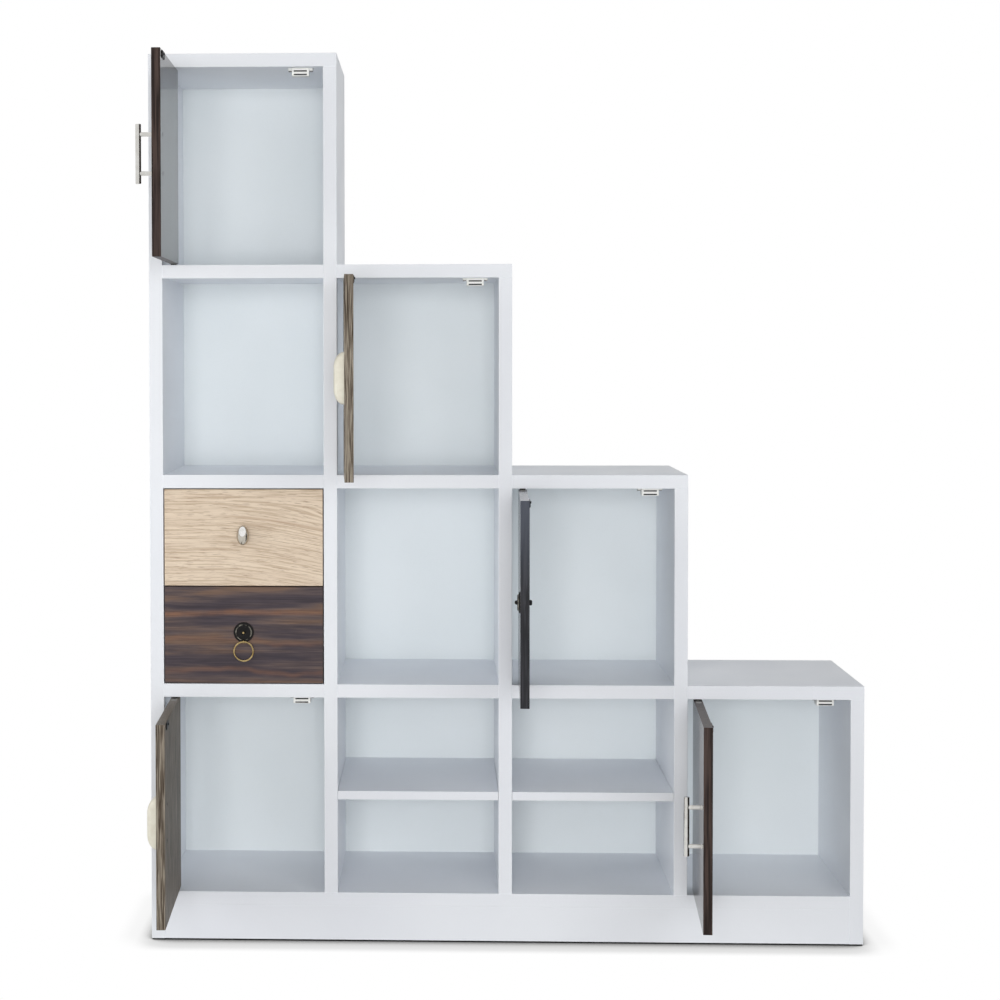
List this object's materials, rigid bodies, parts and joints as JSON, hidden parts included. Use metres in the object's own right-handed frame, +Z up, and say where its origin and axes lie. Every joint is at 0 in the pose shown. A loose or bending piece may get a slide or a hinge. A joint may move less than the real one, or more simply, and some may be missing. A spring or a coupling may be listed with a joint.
{
  "type": "cube bookcase",
  "caption": "White stepped cube bookcase on a plinth, with open cells, half shelves, wood-grain doors on pivot hinges and drawers with mixed pulls.",
  "frame": {"origin": "on the floor under the middle of the carcass, at the centre of the middle glide", "axes": "+X to the viewer's right, +Y from the front to the back, +Z up"},
  "size_m": [1.325, 0.5897, 1.656],
  "materials": {
    "white_board": "white melamine on particle board, satin",
    "white_back": "white painted hardboard, satin",
    "drawer_board": "white melamine, satin",
    "beech": "plain beech",
    "black_plastic": "matte",
    "white_plastic": "moulded, satin",
    "nickel": "nickel plated",
    "satin_nickel": "satin nickel",
    "dark_steel": "black oxide",
    "rail_steel": "white powder coat",
    "pale_oak": "pale oak grain laminate, satin",
    "streaked_walnut": "streaked dark walnut laminate, satin",
    "dark_wenge": "dark wenge laminate, semi-gloss",
    "grey_oak": "grey-brown oak laminate, semi-gloss",
    "charcoal": "charcoal laminate, semi-gloss",
    "black_metal": "black with a polished rim",
    "champagne": "champagne plate, satin",
    "antique_brass": "antique brass"
  },
  "bodies": {
    "carcass": {"left_side_panel": "white_board", "divider_1": "white_board", "divider_2": "white_board", "divider_3": "white_board", "right_side_panel": "white_board", "bottom_panel": "white_board", "panel_dowels": "beech", "fixed_shelves": "white_board", "top_panel_1": "white_board", "top_panel_2": "white_board", "top_panel_3": "white_board", "top_panel_4": "white_board", "kickboards": "white_board", "centre_brace": "white_board", "floor_glides": "black_plastic", "back_panel_1": "white_back", "back_panel_2": "white_back", "back_panel_3": "white_back", "back_panel_4": "white_back", "half_shelves": "white_board", "shelf_pins": "nickel", "hinge_frame_leaves": "dark_steel", "carcass_screws": "nickel", "catch_housings": "white_plastic", "catch_poles": "dark_steel", "drawer_rails": "rail_steel"},
    "door_1": {"door_1_panel": "dark_wenge", "door_1_hinge_leaves": "nickel", "door_1_strike": "dark_steel", "door_1_bar_pull": "satin_nickel"},
    "door_2": {"door_2_panel": "grey_oak", "door_2_hinge_leaves": "nickel", "door_2_strike": "dark_steel", "door_2_cup_pull": "champagne"},
    "door_3": {"door_3_panel": "charcoal", "door_3_hinge_leaves": "nickel", "door_3_strike": "dark_steel", "door_3_rosette": "black_metal"},
    "door_4": {"door_4_panel": "dark_wenge", "door_4_hinge_leaves": "nickel", "door_4_strike": "dark_steel", "door_4_bar_pull": "satin_nickel"},
    "door_5": {"door_5_panel": "grey_oak", "door_5_hinge_leaves": "nickel", "door_5_strike": "dark_steel", "door_5_cup_pull": "champagne"},
    "drawer_upper": {"drawer_upper_front": "pale_oak", "drawer_upper_sides": "drawer_board", "drawer_upper_back": "drawer_board", "drawer_upper_bottom": "drawer_board", "drawer_upper_runner_bars": "rail_steel", "drawer_upper_knob": "satin_nickel"},
    "drawer_lower": {"drawer_lower_front": "streaked_walnut", "drawer_lower_sides": "drawer_board", "drawer_lower_back": "drawer_board", "drawer_lower_bottom": "drawer_board", "drawer_lower_runner_bars": "rail_steel", "drawer_lower_rosette": "black_metal"},
    "drawer_lower_ring": {"drawer_lower_ring": "antique_brass"}
  },
  "joints": [
    {"name": "door_1_hinge", "type": "hinge", "parent": "carcass", "child": "door_1", "pos_m": [-0.61759, -0.152, 1.265], "axis": [0, 0, -1], "range_deg": [-88.5, 21.5]},
    {"name": "door_2_hinge", "type": "hinge", "parent": "carcass", "child": "door_2", "pos_m": [-0.29259, -0.152, 0.874], "axis": [0, 0, -1], "range_deg": [-87, 23]},
    {"name": "door_3_hinge", "type": "hinge", "parent": "carcass", "child": "door_3", "pos_m": [0.03241, -0.152, 0.483], "axis": [0, 0, -1], "range_deg": [-91.5, 18.5]},
    {"name": "door_4_hinge", "type": "hinge", "parent": "carcass", "child": "door_4", "pos_m": [0.35741, -0.152, 0.092], "axis": [0, 0, -1], "range_deg": [-93.5, 16.5]},
    {"name": "door_5_hinge", "type": "hinge", "parent": "carcass", "child": "door_5", "pos_m": [-0.61759, -0.152, 0.092], "axis": [0, 0, -1], "range_deg": [-88, 22]},
    {"name": "drawer_upper_slide", "type": "slide", "parent": "carcass", "child": "drawer_upper", "axis": [0, -1, 0], "range_m": [0, 0.22]},
    {"name": "drawer_lower_slide", "type": "slide", "parent": "carcass", "child": "drawer_lower", "axis": [0, -1, 0], "range_m": [0, 0.22]},
    {"name": "drawer_lower_ring_swing", "type": "hinge", "parent": "drawer_lower", "child": "drawer_lower_ring", "pos_m": [-0.4875, -0.16455, 0.5625], "axis": [-1, 0, 0], "range_deg": [0, 150]}
  ]
}
